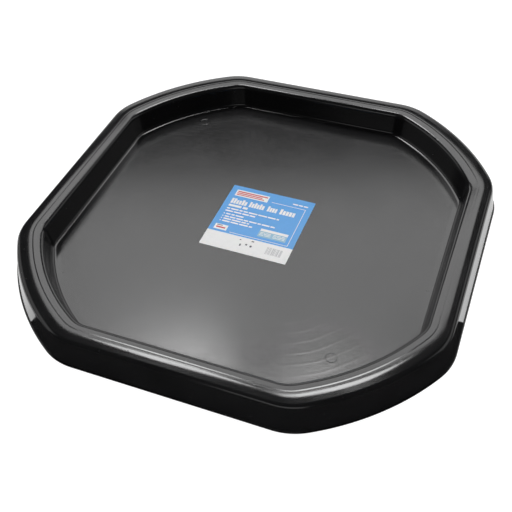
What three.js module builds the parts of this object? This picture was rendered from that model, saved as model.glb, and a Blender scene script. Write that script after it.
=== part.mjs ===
// Mortar mixing spot board: a shallow square plastic tray with large rounded corners and a
// label stuck to its floor. Millimetres, +Z up, origin at the middle of the tray on the
// surface that its foot stands on, +X and +Y through the middles of two flat sides.
//
// The tray is one moulding of even wall thickness. A section is swept round it: floor, inner
// wall, rim with an inner land, a narrow groove and a domed crown, then the outer skirt and
// its foot lip. "Reach" is the distance outwards from the edge of the floor, on a flat side.
import * as THREE from 'three';

// Overall sizes of the tray
const trayWidth = 700;            // over two opposite flat sides, at the foot
const rimHeight = 46.7;           // from the foot to the crown of the rim
const wallThickness = 3;

// Plan shape: a square whose corners are cut by one large circle about the middle
const floorCornerRise = 36.1;     // radius of the corner circle less half the width, at the floor
const footCornerRise = 40.4;      // the same, at the foot
const floorBlend = 42;            // radius that joins a flat side to the corner circle, at the floor

// Floor and inner wall
const floorTop = 5;
const floorFillet = 6;
const wallDraft = 8.5;            // degrees that the inner wall leans outwards

// Rim, from the inside outwards
const landEdge = 8.5;             // radius where the inner wall turns into the land
const landUnderEdge = 4.5;        // the same turn underneath
const landWidth = 14.7;           // from the inner wall to the middle of the groove
const landDrop = 1.6;             // how far the land starts below the crown, at the inner wall
const landRise = 1.35;            // how far the land climbs towards the groove
const grooveWidth = 3.6;
const grooveDepth = 0.08;         // below the land
const grooveStep = 0.12;          // how far the groove's outer side stands above the land
const riseWidth = 6.8;            // from the middle of the groove to the crown
const crownRadius = 40;
const crownWidth = 8.3;           // from the crown to the start of the shoulder
const crownFall = 1.85;           // how far the rim falls from the crown towards the shoulder
const shoulderRadius = 8;

// Skirt and its foot
const skirtDraft = 10.5;          // degrees that the skirt leans outwards towards its foot
const lipWidth = 1.6;             // how far the lip stands out of the skirt
const lipThickness = 1.2;
const lipFillet = 0.6;

// Label, and its place on the floor
const labelWidth = 146.6;
const labelDepth = 148.1;
const labelThickness = 0.3;
const labelCorner = 1.5;
const labelTurn = -0.5;           // degrees about +Z
const labelX = -3.3;
const labelY = 3;
const adhesiveGap = 0.05;

// How finely round stretches are divided
const blendSteps = 4;             // each join of a flat side and a corner
const cornerSteps = 4;            // each half of a corner
const filletStep = 24;            // degrees of a fillet that one straight step spans
const labelCornerSteps = 3;

// Places along the section that follow from the sizes above
const degrees = Math.PI / 180;
const wallSlope = Math.tan(wallDraft * degrees);
const skirtSlope = Math.tan(skirtDraft * degrees);
const landHeight = rimHeight - landDrop;
const landTop = landHeight + landRise;
const wallTopReach = (landHeight - floorTop) * wallSlope;
const grooveReach = wallTopReach + landWidth;
const crownReach = grooveReach + riseWidth;
const shoulderReach = crownReach + crownWidth + shoulderRadius * Math.tan((90 - skirtDraft) / 2 * degrees);
const skirtFootReach = shoulderReach + (rimHeight - lipThickness) * skirtSlope;
const footReach = skirtFootReach + lipWidth;

// The outline of the tray at a reach, anticlockwise, as one Vector2 for each station.
function outline(reach) {
  const flat = trayWidth / 2 - footReach + reach;
  const corner = flat + THREE.MathUtils.mapLinear(reach, 0, footReach, floorCornerRise, footCornerRise);
  const blend = floorBlend + reach;
  const blendY = flat - blend;
  const blendX = Math.sqrt((corner - blend) ** 2 - blendY ** 2);
  const blendStart = Math.atan2(blendY, blendX);

  const halfSide = [];
  for (let step = 1; step <= cornerSteps; step++) {
    const angle = THREE.MathUtils.mapLinear(step, 0, cornerSteps, Math.PI / 4, blendStart);
    halfSide.push(new THREE.Vector2(corner * Math.cos(angle), corner * Math.sin(angle)));
  }
  for (let step = 1; step <= blendSteps; step++) {
    const angle = THREE.MathUtils.mapLinear(step, 0, blendSteps, blendStart, Math.PI / 2);
    halfSide.push(new THREE.Vector2(blendX + blend * Math.cos(angle), blendY + blend * Math.sin(angle)));
  }
  const mirrored = halfSide.map((point) => new THREE.Vector2(-point.x, point.y)).reverse();
  const nextCorner = new THREE.Vector2(-corner, corner).multiplyScalar(Math.SQRT1_2);
  const side = [...halfSide, ...mirrored, nextCorner];

  const middle = new THREE.Vector2();
  const stations = [];
  for (let turn = 0; turn < 4; turn++) {
    side.forEach((point) => stations.push(point.clone().rotateAround(middle, turn * Math.PI / 2)));
  }
  return stations;
}

// Rounds the corners of an open line. Each corner is [reach, height, radius].
function rounded(corners) {
  const vertices = corners.map(([reach, height]) => new THREE.Vector2(reach, height));
  const points = [];
  corners.forEach(([, , radius], index) => {
    const vertex = vertices[index];
    if (radius === 0) {
      points.push(vertex);
      return;
    }
    const back = vertices[index - 1].clone().sub(vertex).normalize();
    const ahead = vertices[index + 1].clone().sub(vertex).normalize();
    const halfAngle = Math.acos(back.dot(ahead)) / 2;
    const bisector = back.clone().add(ahead).normalize();
    const centre = vertex.clone().addScaledVector(bisector, radius / Math.sin(halfAngle));
    const start = vertex.clone().addScaledVector(back, radius / Math.tan(halfAngle));
    const turn = Math.sign(ahead.cross(back)) * (Math.PI - 2 * halfAngle);
    const steps = Math.ceil(Math.abs(turn) / (filletStep * degrees));
    for (let step = 0; step <= steps; step++) {
      points.push(start.clone().rotateAround(centre, turn * step / steps));
    }
  });
  return points;
}

// The section of the tray from the top of the floor over the rim to the foot, and back
// underneath, one wall thickness in, to the underside of the floor.
function traySection() {
  const floorEdge = -2 * floorFillet;
  const outside = rounded([
    [floorEdge, floorTop, 0],
    [0, floorTop, floorFillet],
    [wallTopReach, landHeight, landEdge],
    [grooveReach - grooveWidth / 2, landTop, 0],
    [grooveReach, landTop - grooveDepth, 0],
    [grooveReach + grooveWidth / 2, landTop + grooveStep, 0],
    [crownReach, rimHeight, crownRadius],
    [shoulderReach + crownFall * skirtSlope, rimHeight - crownFall, shoulderRadius],
    [skirtFootReach, lipThickness, lipFillet],
    [footReach, lipThickness, 0],
    [footReach, 0, 0],
  ]);

  // The faces underneath meet where the outer faces, each moved in by the wall, would meet.
  const wallAcross = wallThickness / Math.cos(wallDraft * degrees) - wallThickness * wallSlope;
  const skirtAcross = wallThickness / Math.cos(skirtDraft * degrees) - wallThickness * skirtSlope;
  const landUnder = landHeight - wallThickness;
  const crownUnder = rimHeight - wallThickness;
  const skirtInnerReach = shoulderReach - skirtAcross;
  const inside = rounded([
    [skirtInnerReach + crownUnder * skirtSlope, 0, 0],
    [skirtInnerReach + crownFall * skirtSlope, crownUnder - crownFall, shoulderRadius - wallThickness],
    [crownReach, crownUnder, shoulderRadius],
    [wallTopReach + wallAcross, landUnder, landUnderEdge],
    [wallAcross, floorTop - wallThickness, floorFillet + wallThickness],
    [floorEdge, floorTop - wallThickness, 0],
  ]);
  return [...outside, ...inside];
}

// Sweeps the section round the tray and closes it with the floor, as one closed body.
function trayGeometry() {
  const section = traySection();
  const rings = section.map((point) => outline(point.x));
  const stations = rings[0].length;
  const positions = [];
  rings.forEach((ring, index) => {
    ring.forEach((point) => positions.push(point.x, point.y, section[index].y));
  });
  const floorMiddle = positions.length / 3;
  positions.push(0, 0, section[0].y);
  const underMiddle = floorMiddle + 1;
  positions.push(0, 0, section.at(-1).y);

  const triangles = [];
  for (let station = 0; station < stations; station++) {
    const next = (station + 1) % stations;
    for (let ring = 0; ring < rings.length - 1; ring++) {
      const inner = ring * stations;
      const outer = inner + stations;
      triangles.push(inner + station, outer + station, outer + next);
      triangles.push(inner + station, outer + next, inner + next);
    }
    const last = (rings.length - 1) * stations;
    triangles.push(floorMiddle, station, next);
    triangles.push(underMiddle, last + next, last + station);
  }

  const geometry = new THREE.BufferGeometry();
  geometry.setAttribute('position', new THREE.Float32BufferAttribute(positions, 3));
  geometry.setIndex(triangles);
  geometry.computeVertexNormals();
  return geometry;
}

// A flat sheet with small rounded corners, its middle at the origin and its back at z = 0.
function labelGeometry() {
  const x = labelWidth / 2 - labelCorner;
  const y = labelDepth / 2 - labelCorner;
  const shape = new THREE.Shape();
  shape.absarc(x, y, labelCorner, 0, Math.PI / 2);
  shape.absarc(-x, y, labelCorner, Math.PI / 2, Math.PI);
  shape.absarc(-x, -y, labelCorner, Math.PI, 1.5 * Math.PI);
  shape.absarc(x, -y, labelCorner, 1.5 * Math.PI, 2 * Math.PI);
  return new THREE.ExtrudeGeometry(shape, {
    depth: labelThickness,
    bevelEnabled: false,
    curveSegments: labelCornerSteps,
  });
}

const blackPlastic = new THREE.MeshStandardMaterial({ color: 0x1d1d1f, roughness: 0.35, metalness: 0 });
const printedPaper = new THREE.MeshStandardMaterial({ color: 0x5ab0ee, roughness: 0.45, metalness: 0 });

const tray = new THREE.Mesh(trayGeometry(), blackPlastic);
tray.name = 'tray';

const label = new THREE.Mesh(labelGeometry(), printedPaper);
label.name = 'label';
label.position.set(labelX, labelY, floorTop + adhesiveGap);
label.rotation.z = labelTurn * degrees;

const group = new THREE.Group();
group.add(tray, label);

export default group;
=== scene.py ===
import math
import random

import bpy
import numpy as np
from mathutils import Matrix, Quaternion, Vector


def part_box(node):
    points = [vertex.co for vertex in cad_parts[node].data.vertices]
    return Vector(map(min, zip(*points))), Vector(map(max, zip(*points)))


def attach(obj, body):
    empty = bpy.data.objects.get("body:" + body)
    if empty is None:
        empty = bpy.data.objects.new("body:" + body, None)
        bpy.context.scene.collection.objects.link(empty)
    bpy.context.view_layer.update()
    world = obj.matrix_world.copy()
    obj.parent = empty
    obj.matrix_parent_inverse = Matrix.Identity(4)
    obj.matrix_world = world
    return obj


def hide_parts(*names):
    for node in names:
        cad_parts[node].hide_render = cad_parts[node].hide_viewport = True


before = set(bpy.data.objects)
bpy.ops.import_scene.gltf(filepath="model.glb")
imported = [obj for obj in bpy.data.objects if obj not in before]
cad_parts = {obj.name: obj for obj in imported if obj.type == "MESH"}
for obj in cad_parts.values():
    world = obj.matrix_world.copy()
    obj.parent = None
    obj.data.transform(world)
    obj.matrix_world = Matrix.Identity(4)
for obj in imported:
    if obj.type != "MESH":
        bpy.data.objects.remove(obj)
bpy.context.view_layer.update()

# A mortar mixing spot board: a black moulded tray with a printed label on its floor.
# Lengths are in millimetres until a mesh is made, as in the design of the part.
MM = 0.001
TRAY_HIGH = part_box("tray")[1]
LABEL_LOW, LABEL_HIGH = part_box("label")

# Sizes that the frame gives
HALF_WIDTH = TRAY_HIGH.x / MM
RIM_HEIGHT = TRAY_HIGH.z / MM
ADHESIVE_GAP = 0.05
FLOOR_TOP = LABEL_LOW.z / MM - ADHESIVE_GAP

# Section of the tray, from the floor outwards
WALL = 3.0
FLOOR_FILLET = 6.0
WALL_DRAFT = math.radians(8.5)
LAND_EDGE = 8.5
LAND_UNDER_EDGE = 4.5
LAND_WIDTH = 14.7
LAND_DROP = 1.6
LAND_RISE = 1.35
GROOVE_WIDTH = 3.6
GROOVE_DEPTH = 0.08
GROOVE_STEP = 0.12
GROOVE_RADIUS = 2.0
RISE_WIDTH = 6.8
CROWN_RADIUS = 40.0
CROWN_WIDTH = 8.3
CROWN_FALL = 1.85
SHOULDER_RADIUS = 8.0
SKIRT_DRAFT = math.radians(10.5)
LIP_WIDTH = 1.6
LIP_THICKNESS = 1.2
LIP_FILLET = 0.6
SMALL_EDGE = 0.3

# Plan of the tray: flat sides joined by one corner circle
FLOOR_CORNER_RISE = 36.1
FOOT_CORNER_RISE = 40.4
FLOOR_BLEND = 42.0

LAND_HEIGHT = RIM_HEIGHT - LAND_DROP
LAND_TOP = LAND_HEIGHT + LAND_RISE
WALL_TOP_REACH = (LAND_HEIGHT - FLOOR_TOP) * math.tan(WALL_DRAFT)
GROOVE_REACH = WALL_TOP_REACH + LAND_WIDTH
CROWN_REACH = GROOVE_REACH + RISE_WIDTH
SHOULDER_REACH = CROWN_REACH + CROWN_WIDTH + SHOULDER_RADIUS * math.tan(math.pi / 4 - SKIRT_DRAFT / 2)
SKIRT_FOOT_REACH = SHOULDER_REACH + (RIM_HEIGHT - LIP_THICKNESS) * math.tan(SKIRT_DRAFT)
FOOT_REACH = SKIRT_FOOT_REACH + LIP_WIDTH

# How finely the tray is divided
FLAT_STEPS = 14
BLEND_STEPS = 10
CORNER_STEPS = 14
FILLET_STEP = math.radians(7)
EDGE_MARGIN = 0.15


def outline(reach):
    """The tray's outline at a reach outwards from the edge of its floor, anticlockwise, one row a station."""
    flat = HALF_WIDTH - FOOT_REACH + reach
    corner = flat + FLOOR_CORNER_RISE + (FOOT_CORNER_RISE - FLOOR_CORNER_RISE) * reach / FOOT_REACH
    blend = FLOOR_BLEND + reach
    blend_y = flat - blend
    blend_x = math.sqrt((corner - blend) ** 2 - blend_y ** 2)
    blend_start = math.atan2(blend_y, blend_x)
    arc = np.linspace(math.pi / 4, blend_start, CORNER_STEPS + 1)[1:]
    turn = np.linspace(blend_start, math.pi / 2, BLEND_STEPS + 1)[1:]
    x = np.concatenate([
        corner * np.cos(arc),
        blend_x + blend * np.cos(turn),
        np.linspace(blend_x, 0, FLAT_STEPS // 2 + 1)[1:],
    ])
    y = np.concatenate([
        corner * np.sin(arc),
        blend_y + blend * np.sin(turn),
        np.full(FLAT_STEPS // 2, flat),
    ])
    half = np.column_stack([x, y])
    mirrored = half[-2::-1] * (-1, 1)
    next_corner = np.array([[-corner, corner]]) / math.sqrt(2)
    side = np.vstack([half, mirrored, next_corner])
    quarter_turn = np.array([[0, 1], [-1, 0]])
    sides = [side]
    for _ in range(3):
        sides.append(sides[-1] @ quarter_turn)
    return np.vstack(sides)


def rounded(corners, step=FILLET_STEP):
    """Points of an open line whose corners (reach, height, radius) are rounded, with a close point
    beside the end of each rounding, so that smooth shading stays on the rounding."""
    vertices = [Vector(corner[:2]) for corner in corners]
    points = []
    for index, (_, _, radius) in enumerate(corners):
        vertex = vertices[index]
        if radius == 0:
            points.append(vertex)
            continue
        back = (vertices[index - 1] - vertex).normalized()
        ahead = (vertices[index + 1] - vertex).normalized()
        half_angle = back.angle(ahead) / 2
        centre = vertex + (back + ahead).normalized() * radius / math.sin(half_angle)
        start = vertex + back * radius / math.tan(half_angle)
        end = vertex + ahead * radius / math.tan(half_angle)
        turn = math.copysign(math.pi - 2 * half_angle, ahead.x * back.y - ahead.y * back.x)
        steps = max(2, math.ceil(abs(turn) / step))
        points.append(start + back * EDGE_MARGIN)
        for i in range(steps + 1):
            offset = start - centre
            offset.rotate(Matrix.Rotation(turn * i / steps, 2))
            points.append(centre + offset)
        points.append(end + ahead * EDGE_MARGIN)
    return np.array([tuple(point) for point in points])


def outer_section():
    """From the edge of the floor, up the inner wall, over the rim and down the skirt to its foot."""
    return rounded([
        (-2 * FLOOR_FILLET, FLOOR_TOP, 0),
        (0, FLOOR_TOP, FLOOR_FILLET),
        (WALL_TOP_REACH, LAND_HEIGHT, LAND_EDGE),
        (GROOVE_REACH - GROOVE_WIDTH / 2, LAND_TOP, GROOVE_RADIUS),
        (GROOVE_REACH, LAND_TOP - GROOVE_DEPTH, GROOVE_RADIUS),
        (GROOVE_REACH + GROOVE_WIDTH / 2, LAND_TOP + GROOVE_STEP, GROOVE_RADIUS),
        (CROWN_REACH, RIM_HEIGHT, CROWN_RADIUS),
        (SHOULDER_REACH + CROWN_FALL * math.tan(SKIRT_DRAFT), RIM_HEIGHT - CROWN_FALL, SHOULDER_RADIUS),
        (SKIRT_FOOT_REACH, LIP_THICKNESS, LIP_FILLET),
        (FOOT_REACH, LIP_THICKNESS, SMALL_EDGE),
        (FOOT_REACH, 0, SMALL_EDGE),
        (FOOT_REACH - LIP_WIDTH, 0, 0),
    ])


def inner_section():
    """Underneath, one wall in: from the foot up inside the skirt, under the rim and down to the floor."""
    wall_across = WALL / math.cos(WALL_DRAFT) - WALL * math.tan(WALL_DRAFT)
    skirt_across = WALL / math.cos(SKIRT_DRAFT) - WALL * math.tan(SKIRT_DRAFT)
    crown_under = RIM_HEIGHT - WALL
    land_under = LAND_HEIGHT - WALL
    inner_reach = SHOULDER_REACH - skirt_across
    return rounded([
        (FOOT_REACH - LIP_WIDTH, 0, 0),
        (inner_reach + crown_under * math.tan(SKIRT_DRAFT), 0, SMALL_EDGE),
        (inner_reach + CROWN_FALL * math.tan(SKIRT_DRAFT), crown_under - CROWN_FALL, SHOULDER_RADIUS - WALL),
        (CROWN_REACH, crown_under, SHOULDER_RADIUS),
        (WALL_TOP_REACH + wall_across, land_under, LAND_UNDER_EDGE),
        (wall_across, FLOOR_TOP - WALL, FLOOR_FILLET + WALL),
        (-2 * FLOOR_FILLET, FLOOR_TOP - WALL, 0),
    ], step=2 * FILLET_STEP)


class Builder:
    """Collects vertices and faces, each face with the number of its material."""

    def __init__(self):
        self.vertices = []
        self.faces = []
        self.materials = []

    def ring(self, xy, z):
        """Adds one closed ring and returns the number of its first vertex."""
        first = len(self.vertices)
        heights = np.broadcast_to(z, len(xy))
        self.vertices += [(x, y, h) for (x, y), h in zip(xy, heights)]
        return first

    def band(self, inner, outer, count, material):
        """Joins two rings, the outer one further along the section, with faces that look outwards."""
        for i in range(count):
            j = (i + 1) % count
            self.face((inner + i, outer + i, outer + j, inner + j), material)

    def face(self, corners, material):
        self.faces.append(corners)
        self.materials.append(material)

    def make(self, name, materials):
        mesh = bpy.data.meshes.new(name)
        mesh.from_pydata([tuple(c * MM for c in v) for v in self.vertices], [], self.faces)
        for material in materials:
            mesh.materials.append(material)
        mesh.polygons.foreach_set("material_index", self.materials)
        mesh.polygons.foreach_set("use_smooth", [True] * len(self.faces))
        mesh.set_sharp_from_angle(angle=SHARP_EDGE)
        mesh.update()
        piece = bpy.data.objects.new(name, mesh)
        bpy.context.scene.collection.objects.link(piece)
        return piece


FLOOR_RINGS = 240
SETTLE_SHARE = 0.03  # the outer share of the floor over which its unevenness settles to nothing
SHARP_EDGE = math.radians(40)

# The slight general waviness of the floor, which dies away towards its edge
WAVE_HEIGHT = 0.02
CALM_REACH = 300.0
CALM_WIDTH = 60.0
FLOOR_SINK = 0.1  # how far the floor's top lies below its full height, which leaves room for the crests

# Faint crests that the flow of the plastic left in the front right of the floor, round its middle
CREST_PITCH = 19.0
CREST_HEIGHT = 0.10
CREST_BEARING = math.radians(-47)
CREST_SPREAD = math.radians(16)
CREST_MIDDLE = 235.0
CREST_DEPTH = 75.0

# Rings that the ejector pins of the mould left: middle of each ring, and its size
PIN_MARKS = ((-198, 228), (189, -217))
PIN_RADIUS = 7.4
PIN_WIDTH = 1.2
PIN_HEIGHT = 0.22
PIN_STEPS = 48


def floor_height(xy):
    """Height of the floor's top at each place, with the crests and a slight general waviness."""
    x, y = np.asarray(xy).T
    distance = np.hypot(x, y)
    bearing = np.arctan2(y, x)
    aside = (bearing - CREST_BEARING) / CREST_SPREAD
    astray = (distance - CREST_MIDDLE) / CREST_DEPTH
    within = np.exp(-aside ** 2 - astray ** 2)
    wobble = 1.5 * np.sin(bearing * 9) + 0.8 * np.sin(bearing * 23 + 1)
    crest = np.maximum(0, np.cos(2 * math.pi * (distance + wobble) / CREST_PITCH)) ** 9
    waves = np.sin(x / 41 + 0.7) * np.sin(y / 53 + 0.3) + 0.6 * np.sin(x / 23 + y / 31)
    calm = np.clip((CALM_REACH - np.maximum(abs(x), abs(y))) / CALM_WIDTH, 0, 1)
    return FLOOR_TOP - FLOOR_SINK + CREST_HEIGHT * crest * within + WAVE_HEIGHT * waves * calm


def tray_piece(rim_plastic, floor_plastic, under_plastic):
    build = Builder()
    section = np.vstack([outer_section(), inner_section()[1:]])
    outer_count = len(outer_section())
    edge = outline(section[0][0])
    count = len(edge)

    # The top of the floor, in rings that shrink towards its middle
    middle = len(build.vertices)
    build.vertices.append((0, 0, floor_height([(0, 0)])[0]))
    shares = np.linspace(0, 1, FLOOR_RINGS + 1)[1:]
    previous = None
    for share in shares:
        xy = edge * share
        settle = min(1, (1 - share) / SETTLE_SHARE)
        here = build.ring(xy, FLOOR_TOP + (floor_height(xy) - FLOOR_TOP) * settle)
        if previous is None:
            for i in range(count):
                build.face((middle, here + i, here + (i + 1) % count), 1)
        else:
            build.band(previous, here, count, 1)
        previous = here

    # The wall, the rim, the skirt and the underside
    for index, (reach, height) in enumerate(section[1:], 1):
        here = build.ring(outline(reach), height)
        build.band(previous, here, count, 0 if index < outer_count else 2)
        previous = here
    under = len(build.vertices)
    build.vertices.append((0, 0, section[-1][1]))
    for i in range(count):
        build.face((under, previous + (i + 1) % count, previous + i), 2)
    return build.make("tray_moulding", [rim_plastic, floor_plastic, under_plastic])


def pin_marks(plastic):
    """The low rings of the ejector pins, each a closed ring that stands a little out of the floor."""
    build = Builder()
    turn = np.linspace(0, 2 * math.pi, PIN_STEPS, endpoint=False)
    circle = np.column_stack([np.cos(turn), np.sin(turn)])
    for middle in PIN_MARKS:
        base = floor_height([middle])[0]
        rings = [build.ring(circle * radius + middle, base + height) for radius, height in (
            (PIN_RADIUS, -PIN_HEIGHT), (PIN_RADIUS, 0), (PIN_RADIUS + 0.4 * PIN_WIDTH, PIN_HEIGHT),
            (PIN_RADIUS + 0.6 * PIN_WIDTH, PIN_HEIGHT), (PIN_RADIUS + PIN_WIDTH, 0),
            (PIN_RADIUS + PIN_WIDTH, -PIN_HEIGHT))]
        for inner, outer in zip(rings, rings[1:] + rings[:1]):
            build.band(inner, outer, PIN_STEPS, 0)
    return build.make("ejector_pin_marks", [plastic])


class Nodes:
    """A material's shader, with short calls for the few kinds of node that the finishes use."""

    def __init__(self, name):
        self.material = bpy.data.materials.new(name)
        self.material.use_nodes = True
        self.tree = self.material.node_tree
        self.shader = self.tree.nodes["Principled BSDF"]
        self.place = self.tree.nodes.new("ShaderNodeTexCoord").outputs["Object"]

    def noise(self, size, detail=2.0, stretch=(1, 1, 1)):
        """Noise between 0 and 1 whose grains are about `size` millimetres across."""
        mapping = self.tree.nodes.new("ShaderNodeMapping")
        mapping.inputs["Scale"].default_value = stretch
        self.tree.links.new(self.place, mapping.inputs["Vector"])
        noise = self.tree.nodes.new("ShaderNodeTexNoise")
        noise.inputs["Scale"].default_value = 1 / (size * MM)
        noise.inputs["Detail"].default_value = detail
        self.tree.links.new(mapping.outputs["Vector"], noise.inputs["Vector"])
        return noise.outputs["Fac"]

    def range(self, value, low, high, from_low=0.3, from_high=0.7):
        node = self.tree.nodes.new("ShaderNodeMapRange")
        node.inputs["From Min"].default_value = from_low
        node.inputs["From Max"].default_value = from_high
        node.inputs["To Min"].default_value = low
        node.inputs["To Max"].default_value = high
        self.tree.links.new(value, node.inputs["Value"])
        return node.outputs["Result"]

    def mix(self, factor, first, second):
        node = self.tree.nodes.new("ShaderNodeMix")
        node.data_type = "RGBA"
        self.tree.links.new(factor, node.inputs["Factor"])
        for socket, colour in ((node.inputs["A"], first), (node.inputs["B"], second)):
            if isinstance(colour, tuple):
                socket.default_value = (*colour, 1)
            else:
                self.tree.links.new(colour, socket)
        return node.outputs["Result"]

    def add(self, first, second):
        node = self.tree.nodes.new("ShaderNodeMath")
        node.operation = "ADD"
        self.tree.links.new(first, node.inputs[0])
        self.tree.links.new(second, node.inputs[1])
        return node.outputs["Value"]

    def bump(self, height, depth):
        """Bump whose full height is `depth` millimetres."""
        node = self.tree.nodes.new("ShaderNodeBump")
        node.inputs["Distance"].default_value = depth * MM
        self.tree.links.new(height, node.inputs["Height"])
        self.tree.links.new(node.outputs["Normal"], self.shader.inputs["Normal"])

    def set(self, socket, value):
        self.tree.links.new(value, self.shader.inputs[socket])


def shade(colour, factor):
    return tuple(channel * factor for channel in colour)


def rim_plastic():
    """The polished face of the moulding: black, with a faint orange peel, smears and pale scuffs."""
    nodes = Nodes("black_plastic_rim")
    black = (0.0100, 0.0100, 0.0106)
    tint = nodes.mix(nodes.range(nodes.noise(60), 0, 1), shade(black, 0.8), shade(black, 1.2))
    scuff = nodes.range(nodes.noise(7, 6, (1, 1, 2)), 0, 1, 0.68, 0.76)
    nodes.set("Base Color", nodes.mix(scuff, tint, (0.035, 0.035, 0.036)))
    smear = nodes.range(nodes.noise(35, 4), 0.12, 0.16)
    nodes.set("Roughness", nodes.add(smear, nodes.range(scuff, 0, 0.15, 0, 1)))
    nodes.bump(nodes.add(nodes.noise(6, 1), nodes.noise(1.5, 1)), 0.005)
    return nodes.material


def floor_plastic():
    """The satin floor: fine spark grain, broad cloudy patches and faint marks of the flow of the plastic."""
    nodes = Nodes("black_plastic_floor")
    black = (0.0120, 0.0120, 0.0126)
    tint = nodes.mix(nodes.range(nodes.noise(90, 3), 0, 1), shade(black, 0.8), shade(black, 1.2))
    nodes.set("Base Color", tint)
    cloud = nodes.range(nodes.noise(70, 4), 0.185, 0.215)
    nodes.set("Roughness", nodes.add(cloud, nodes.range(nodes.noise(9, 3, (1, 3, 1)), -0.03, 0.03)))
    nodes.bump(nodes.add(nodes.noise(3, 3), nodes.noise(14, 2)), 0.035)
    return nodes.material


def under_plastic():
    """The underside, which keeps the duller texture of the mould's other half."""
    nodes = Nodes("black_plastic_underside")
    black = (0.0140, 0.0140, 0.0146)
    tint = nodes.mix(nodes.range(nodes.noise(50, 3), 0, 1), shade(black, 0.75), shade(black, 1.25))
    nodes.set("Base Color", tint)
    nodes.set("Roughness", nodes.range(nodes.noise(20, 4), 0.45, 0.55))
    nodes.bump(nodes.noise(1.2, 3), 0.03)
    return nodes.material


def print_finish(name, colour, roughness=0.32):
    """One printed colour of the label under its clear film, with a little mottle in the ink."""
    nodes = Nodes(name)
    mottle = nodes.range(nodes.noise(6, 4), 0, 1)
    nodes.set("Base Color", nodes.mix(mottle, shade(colour, 0.96), shade(colour, 1.0)))
    nodes.set("Roughness", nodes.range(nodes.noise(15, 3), roughness - 0.04, roughness + 0.04))
    nodes.bump(nodes.noise(3, 2), 0.01)
    return nodes.material


# The label: its printed areas are placed by shares of its width from the left and of its depth from the top
LABEL_WIDTH = 146.6
LABEL_DEPTH = 148.1
LABEL_TURN = math.radians(-0.5)
LABEL_CORNER = 1.5
LABEL_CENTRE = Vector(((LABEL_LOW.x + LABEL_HIGH.x) / 2, (LABEL_LOW.y + LABEL_HIGH.y) / 2)) / MM
SHEET_BASE = LABEL_LOW.z / MM
SHEET_TOP = SHEET_BASE + 0.22
INK = 0.02
BAND_TOP = 0.767


def on_label(across, down):
    """The place on the board of a point of the label."""
    point = Vector(((across - 0.5) * LABEL_WIDTH, (0.5 - down) * LABEL_DEPTH))
    point.rotate(Matrix.Rotation(LABEL_TURN, 2))
    return tuple(point + LABEL_CENTRE)


def label_sheet(white, blue):
    """The paper with its rounded corners: a blue field above a white band, white at its edge and back."""
    build = Builder()
    corner_across = LABEL_CORNER / LABEL_WIDTH
    corner_down = LABEL_CORNER / LABEL_DEPTH
    outline_points = []
    for across, down, start in ((1, 0, 0), (0, 0, 90), (0, 1, 180), (1, 1, 270)):
        middle_across = abs(across - corner_across)
        middle_down = abs(down - corner_down)
        for step in range(7):
            angle = math.radians(start + step * 15)
            outline_points.append((middle_across + corner_across * math.cos(angle),
                                   middle_down - corner_down * math.sin(angle)))
        if across == 0 and down == 0:
            outline_points.append((0, BAND_TOP))
    outline_points.append((1, BAND_TOP))
    field = outline_points[:15] + outline_points[-1:]
    band = outline_points[14:]
    count = len(outline_points)
    low = build.ring([on_label(*point) for point in outline_points], SHEET_BASE)
    high = build.ring([on_label(*point) for point in outline_points], SHEET_TOP)
    for i in range(count):
        j = (i + 1) % count
        build.face((low + i, low + j, high + j, high + i), 0)
    build.face(tuple(low + i for i in reversed(range(count))), 0)
    build.face(tuple(high + outline_points.index(point) for point in field), 1)
    build.face(tuple(high + outline_points.index(point) for point in band), 0)
    return build.make("label_sheet", [white, blue])


def ink_piece(name, material, areas, lift=1):
    """Flat printed areas (left, top, right, bottom), each a thin closed layer standing on the sheet."""
    build = Builder()
    for left, top, right, bottom in areas:
        corners = [on_label(left, bottom), on_label(right, bottom), on_label(right, top), on_label(left, top)]
        low = build.ring(corners, SHEET_TOP - INK)
        high = build.ring(corners, SHEET_TOP + lift * INK)
        for i in range(4):
            j = (i + 1) % 4
            build.face((low + i, low + j, high + j, high + i), 0)
        build.face((low + 3, low + 2, low + 1, low), 0)
        build.face((high, high + 1, high + 2, high + 3), 0)
    return build.make(name, [material])


def words(left, right, middle, height, letter, chance):
    """Blocks in place of one line of print, in words of a few letters each."""
    areas = []
    start = left
    while start < right - letter:
        end = min(right, start + letter * chance.randint(3, 8))
        if right - end < 2 * letter:
            end = right
        areas.append((start, middle - height / 2, end, middle + height / 2))
        start = end + 0.9 * letter
    return areas


def letters(left, right, top, bottom, count, chance):
    """Upright blocks in place of the letters of one large word."""
    areas = []
    pitch = (right - left) / count
    for index in range(count):
        start = left + index * pitch
        low_letter = top + (bottom - top) * (0.0 if index == 0 else chance.choice((0.22, 0.22, 0.0)))
        areas.append((start, low_letter, start + 0.8 * pitch, bottom))
    return areas


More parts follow.
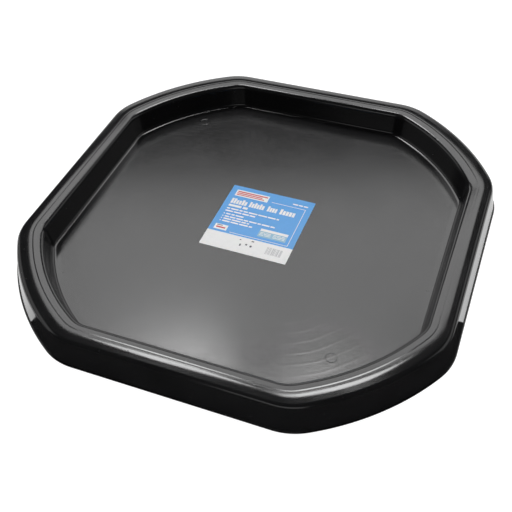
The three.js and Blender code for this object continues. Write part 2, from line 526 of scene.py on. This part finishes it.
def label_pieces():
    """The label, with blocks, bars and plain marks instead of the words and marks of the real print."""
    chance = random.Random(7)
    white = print_finish("label_white", (0.93, 0.93, 0.93))
    blue = print_finish("label_blue", (0.060, 0.370, 0.860))
    red = print_finish("label_red", (0.62, 0.045, 0.075))
    dark = print_finish("label_dark", (0.05, 0.045, 0.075))
    grey = print_finish("label_grey", (0.52, 0.52, 0.54))
    pale = print_finish("label_pale", (0.30, 0.56, 0.74))
    sheet = label_sheet(white, blue)

    whites = [(0.07, 0.062, 0.47, 0.165), (0.055, 0.655, 0.205, 0.735)]
    whites += words(0.76, 0.94, 0.093, 0.018, 0.012, chance)
    for left, right, count in ((0.07, 0.27, 6), (0.295, 0.48, 6), (0.515, 0.635, 4), (0.665, 0.85, 5)):
        whites += letters(left, right, 0.212, 0.298, count, chance)
    whites += words(0.07, 0.30, 0.333, 0.034, 0.022, chance)
    for left, right, middle in ((0.07, 0.70, 0.387), (0.07, 0.43, 0.428), (0.10, 0.31, 0.477),
                                (0.10, 0.70, 0.519), (0.10, 0.41, 0.556), (0.10, 0.46, 0.594)):
        whites += words(left, right, middle, 0.019, 0.013, chance)
    for middle in (0.477, 0.519, 0.556, 0.594):
        whites.append((0.07, middle - 0.008, 0.082, middle + 0.008))
    rule = 0.006
    whites += [(0.52, 0.140, 0.93, 0.140 + rule), (0.93 - rule, 0.146, 0.93, 0.745),
               (0.25, 0.739, 0.93 - rule, 0.745)]
    whites += [(0.565, 0.575, 0.885, 0.612)]

    pales = [(0.56, 0.612, 0.885, 0.700)]
    reds = [(0.085, 0.080, 0.455, 0.098), (0.085, 0.108, 0.395, 0.124), (0.085, 0.134, 0.425, 0.148),
            (0.075, 0.690, 0.185, 0.712)]
    darks = [(0.075, 0.664, 0.140, 0.676),
             (0.405, 0.803, 0.422, 0.815), (0.540, 0.790, 0.568, 0.804), (0.428, 0.868, 0.445, 0.900),
             (0.490, 0.852, 0.512, 0.872), (0.545, 0.860, 0.568, 0.885)]
    over_pale = []
    for middle in (0.632, 0.652, 0.672):
        over_pale += words(0.575, 0.70, middle, 0.009, 0.012, chance)
        over_pale += words(0.73, 0.865, middle, 0.009, 0.012, chance)
    greys = []
    start = 0.735
    while start < 0.905:
        width = chance.choice((0.003, 0.006, 0.009))
        greys.append((start, 0.820, start + width, 0.925))
        start += width + chance.choice((0.003, 0.006, 0.010))

    pieces = [sheet,
              ink_piece("label_print_pale", pale, pales),
              ink_piece("label_print_white", white, whites, 1.5),
              ink_piece("label_print_red", red, reds, 2.5),
              ink_piece("label_print_dark", dark, darks, 2.5),
              ink_piece("label_print_grey", grey, greys),
              ink_piece("label_print_small", white, over_pale, 2.5)]
    for piece in pieces:
        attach(piece, "root")
        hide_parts("label")


# The camera, in metres and degrees
CAMERA_PLACE = (0.3618, -0.8470, 0.8835)
CAMERA_AIM = (0.0181, -0.0641, 0)
CAMERA_ROLL = -3.505
CAMERA_LENS = 55.02
SENSOR_WIDTH = 36
VIEW_DEPTH = 30


def make_camera():
    """At the photograph's viewing angle: above the front of the tray and a little to its right."""
    data = bpy.data.cameras.new("camera")
    data.lens = CAMERA_LENS
    data.sensor_width = SENSOR_WIDTH
    data.clip_end = VIEW_DEPTH
    camera = bpy.data.objects.new("camera", data)
    bpy.context.scene.collection.objects.link(camera)
    camera.location = CAMERA_PLACE
    aim = Vector(CAMERA_AIM) - camera.location
    roll = math.radians(CAMERA_ROLL)
    camera.rotation_mode = "QUATERNION"
    camera.rotation_quaternion = aim.to_track_quat("-Z", "Y") @ Quaternion((0, 0, 1), roll)
    bpy.context.scene.camera = camera


# The studio, in metres
STUDIO_REACH = 12.0
GROUND_HEIGHT = -0.0003
CARD_HEIGHT = -0.0001
CARD_DEPTH = 3.0
CARD_SPARE = 2.0  # how far the dark card runs on past each end of the tray
MATT = 0.9
PALE = (0.2, 0.2, 0.2)
BLACK = (0.004, 0.004, 0.004)
WHITE_GLOW = 1.0
WORLD_GLOW = 0.03


def staged_plane(name, corners, colour, glow=0.0):
    """A flat matt card of the studio, which can glow white."""
    mesh = bpy.data.meshes.new(name)
    mesh.from_pydata(corners, [], [tuple(range(len(corners)))])
    material = bpy.data.materials.new(name)
    material.use_nodes = True
    shader = material.node_tree.nodes["Principled BSDF"]
    shader.inputs["Base Color"].default_value = (*colour, 1)
    shader.inputs["Roughness"].default_value = MATT
    shader.inputs["Emission Color"].default_value = (1, 1, 1, 1)
    shader.inputs["Emission Strength"].default_value = glow
    mesh.materials.append(material)
    plane = bpy.data.objects.new(name, mesh)
    bpy.context.scene.collection.objects.link(plane)
    return plane


def make_ground():
    """A glowing white floor with white walls far round it, and a dark card in front of the tray that shows
    only in reflections."""
    corners = [(x * STUDIO_REACH, y * STUDIO_REACH) for x, y in ((-1, -1), (1, -1), (1, 1), (-1, 1))]
    staged_plane("ground", [(*corner, GROUND_HEIGHT) for corner in corners], PALE, WHITE_GLOW)

    card_left = Vector((-0.262, -0.303))
    card_right = Vector((0.353, -0.090))
    along = (card_right - card_left).normalized()
    ends = [card_left - CARD_SPARE * along, card_right + CARD_SPARE * along]
    card = staged_plane("front_card", [
        (*ends[0], CARD_HEIGHT),
        (ends[0].x, -CARD_DEPTH, CARD_HEIGHT),
        (ends[1].x, -CARD_DEPTH, CARD_HEIGHT),
        (*ends[1], CARD_HEIGHT),
    ], BLACK)
    card.visible_camera = False
    card.visible_diffuse = False
    card.visible_shadow = False

    # The walls close the view above the floor and light nothing
    for index, here in enumerate(corners):
        beyond = corners[(index + 1) % len(corners)]
        wall = staged_plane(f"backdrop_{index + 1}", [
            (*here, CARD_HEIGHT),
            (*here, STUDIO_REACH),
            (*beyond, STUDIO_REACH),
            (*beyond, CARD_HEIGHT),
        ], PALE, WHITE_GLOW)
        wall.visible_diffuse = False
        wall.visible_glossy = False
        wall.visible_shadow = False


# Soft boxes, placed in round figures: bearing clockwise from the back of the tray and height above
# it, then width and height as seen from the tray, all in degrees, and brightness where 1 is a white floor
# that just turns white
SOFTBOXES = {
    "back_softbox": (-20, 48, 50, 18, 3),
    "key_softbox": (-45, 60, 14, 10, 15),
    "top_softbox": (-5, 65, 14, 10, 16),
    "low_strip": (-15, 15, 70, 20, 1.5),
    "left_fill": (-95, 25, 40, 30, 0.7),
    "right_fill": (60, 30, 50, 25, 0.8),
    "front_fill": (170, 30, 45, 20, 1),
}
SOFTBOX_DISTANCE = 3.0


def make_softbox(name, bearing, height, wide, tall, brightness):
    bearing, height = math.radians(bearing), math.radians(height)
    level = math.cos(height)
    towards = Vector((math.sin(bearing) * level, math.cos(bearing) * level, math.sin(height)))
    data = bpy.data.lights.new(name, "AREA")
    data.shape = "RECTANGLE"
    data.size = 2 * SOFTBOX_DISTANCE * math.tan(math.radians(wide / 2))
    data.size_y = 2 * SOFTBOX_DISTANCE * math.tan(math.radians(tall / 2))
    data.energy = brightness * math.pi * data.size * data.size_y
    light = bpy.data.objects.new(name, data)
    light.location = towards * SOFTBOX_DISTANCE
    light.rotation_mode = "QUATERNION"
    light.rotation_quaternion = (-towards).to_track_quat("-Z", "Y")
    light.visible_camera = False
    bpy.context.scene.collection.objects.link(light)


def make_lights():
    world = bpy.data.worlds.new("studio")
    world.use_nodes = True
    background = world.node_tree.nodes["Background"]
    background.inputs["Color"].default_value = (1, 1, 1, 1)
    background.inputs["Strength"].default_value = WORLD_GLOW
    bpy.context.scene.world = world
    for name, row in SOFTBOXES.items():
        make_softbox(name, *row)


make_camera()
make_lights()
make_ground()
satin = floor_plastic()
tray = tray_piece(rim_plastic(), satin, under_plastic())
for piece in (tray, pin_marks(satin)):
    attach(piece, "root")
    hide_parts("tray")
label_pieces()

bpy.context.scene.view_settings.view_transform = "Standard"
